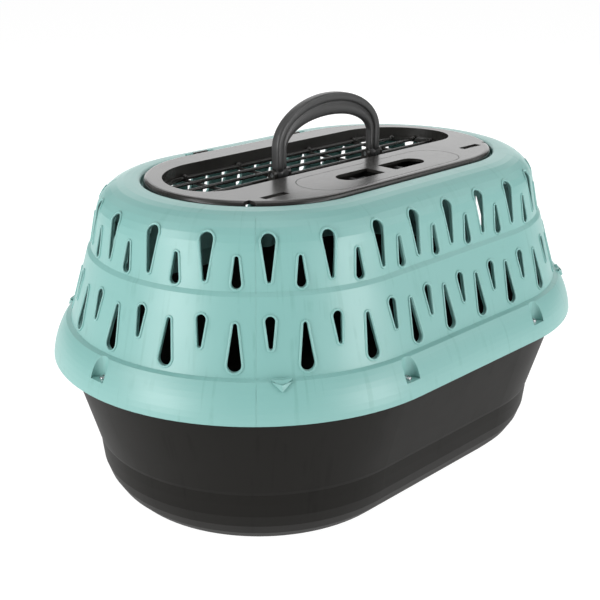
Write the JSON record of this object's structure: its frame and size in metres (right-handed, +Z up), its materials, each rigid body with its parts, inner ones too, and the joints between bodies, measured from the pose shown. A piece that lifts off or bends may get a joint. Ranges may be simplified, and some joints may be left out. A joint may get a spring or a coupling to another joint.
{
  "type": "plastic pet keeper",
  "caption": "Oval carrier for a small pet with a tub, a vented shell, and a hinged lid with a grille, a folding handle and a two-finger latch.",
  "frame": {"origin": "middle of the tub's base, on the ground", "axes": "+X along the length, +Y towards the lid's hinge, +Z up"},
  "size_m": [0.5108, 0.351, 0.3357],
  "materials": {
    "tub_plastic": "satin moulded",
    "shell_plastic": "satin moulded",
    "lid_plastic": "satin moulded",
    "handle_plastic": "satin moulded",
    "slide_plastic": "satin moulded",
    "screw_steel": "bright plated",
    "pin_steel": "drawn",
    "spring_steel": "drawn wire"
  },
  "bodies": {
    "case": {"lower_tub": "tub_plastic", "upper_shell": "shell_plastic", "case_screws": "screw_steel", "hinge_pin_left": "pin_steel", "hinge_pin_right": "pin_steel"},
    "lid": {"lid_frame": "lid_plastic", "window_grille": "lid_plastic", "handle_pin_left": "pin_steel", "handle_pin_right": "pin_steel", "latch_cover": "lid_plastic", "latch_tray": "lid_plastic", "latch_spring": "spring_steel", "latch_screws": "screw_steel", "bolt_guide_left": "lid_plastic", "bolt_guide_right": "lid_plastic"},
    "carry_handle": {"handle": "handle_plastic"},
    "left_latch": {"latch_slide_left": "slide_plastic"},
    "right_latch": {"latch_slide_right": "slide_plastic"}
  },
  "joints": [
    {"name": "lid_hinge", "type": "hinge", "parent": "case", "child": "lid", "pos_m": [0, 0.0997, 0.27582], "axis": [-1, 0, 0], "range_deg": [0, 105]},
    {"name": "handle_fold", "type": "hinge", "parent": "lid", "child": "carry_handle", "pos_m": [0, -0.002, 0.27522], "axis": [-1, 0, 0], "range_deg": [0, 90]},
    {"name": "latch_left", "type": "slide", "parent": "lid", "child": "left_latch", "axis": [1, 0, 0], "range_m": [0, 0.009], "stiffness_N_per_m": 300, "springref_m": -0.004},
    {"name": "latch_right", "type": "slide", "parent": "lid", "child": "right_latch", "axis": [-1, 0, 0], "range_m": [0, 0.009], "stiffness_N_per_m": 300, "springref_m": -0.004}
  ]
}
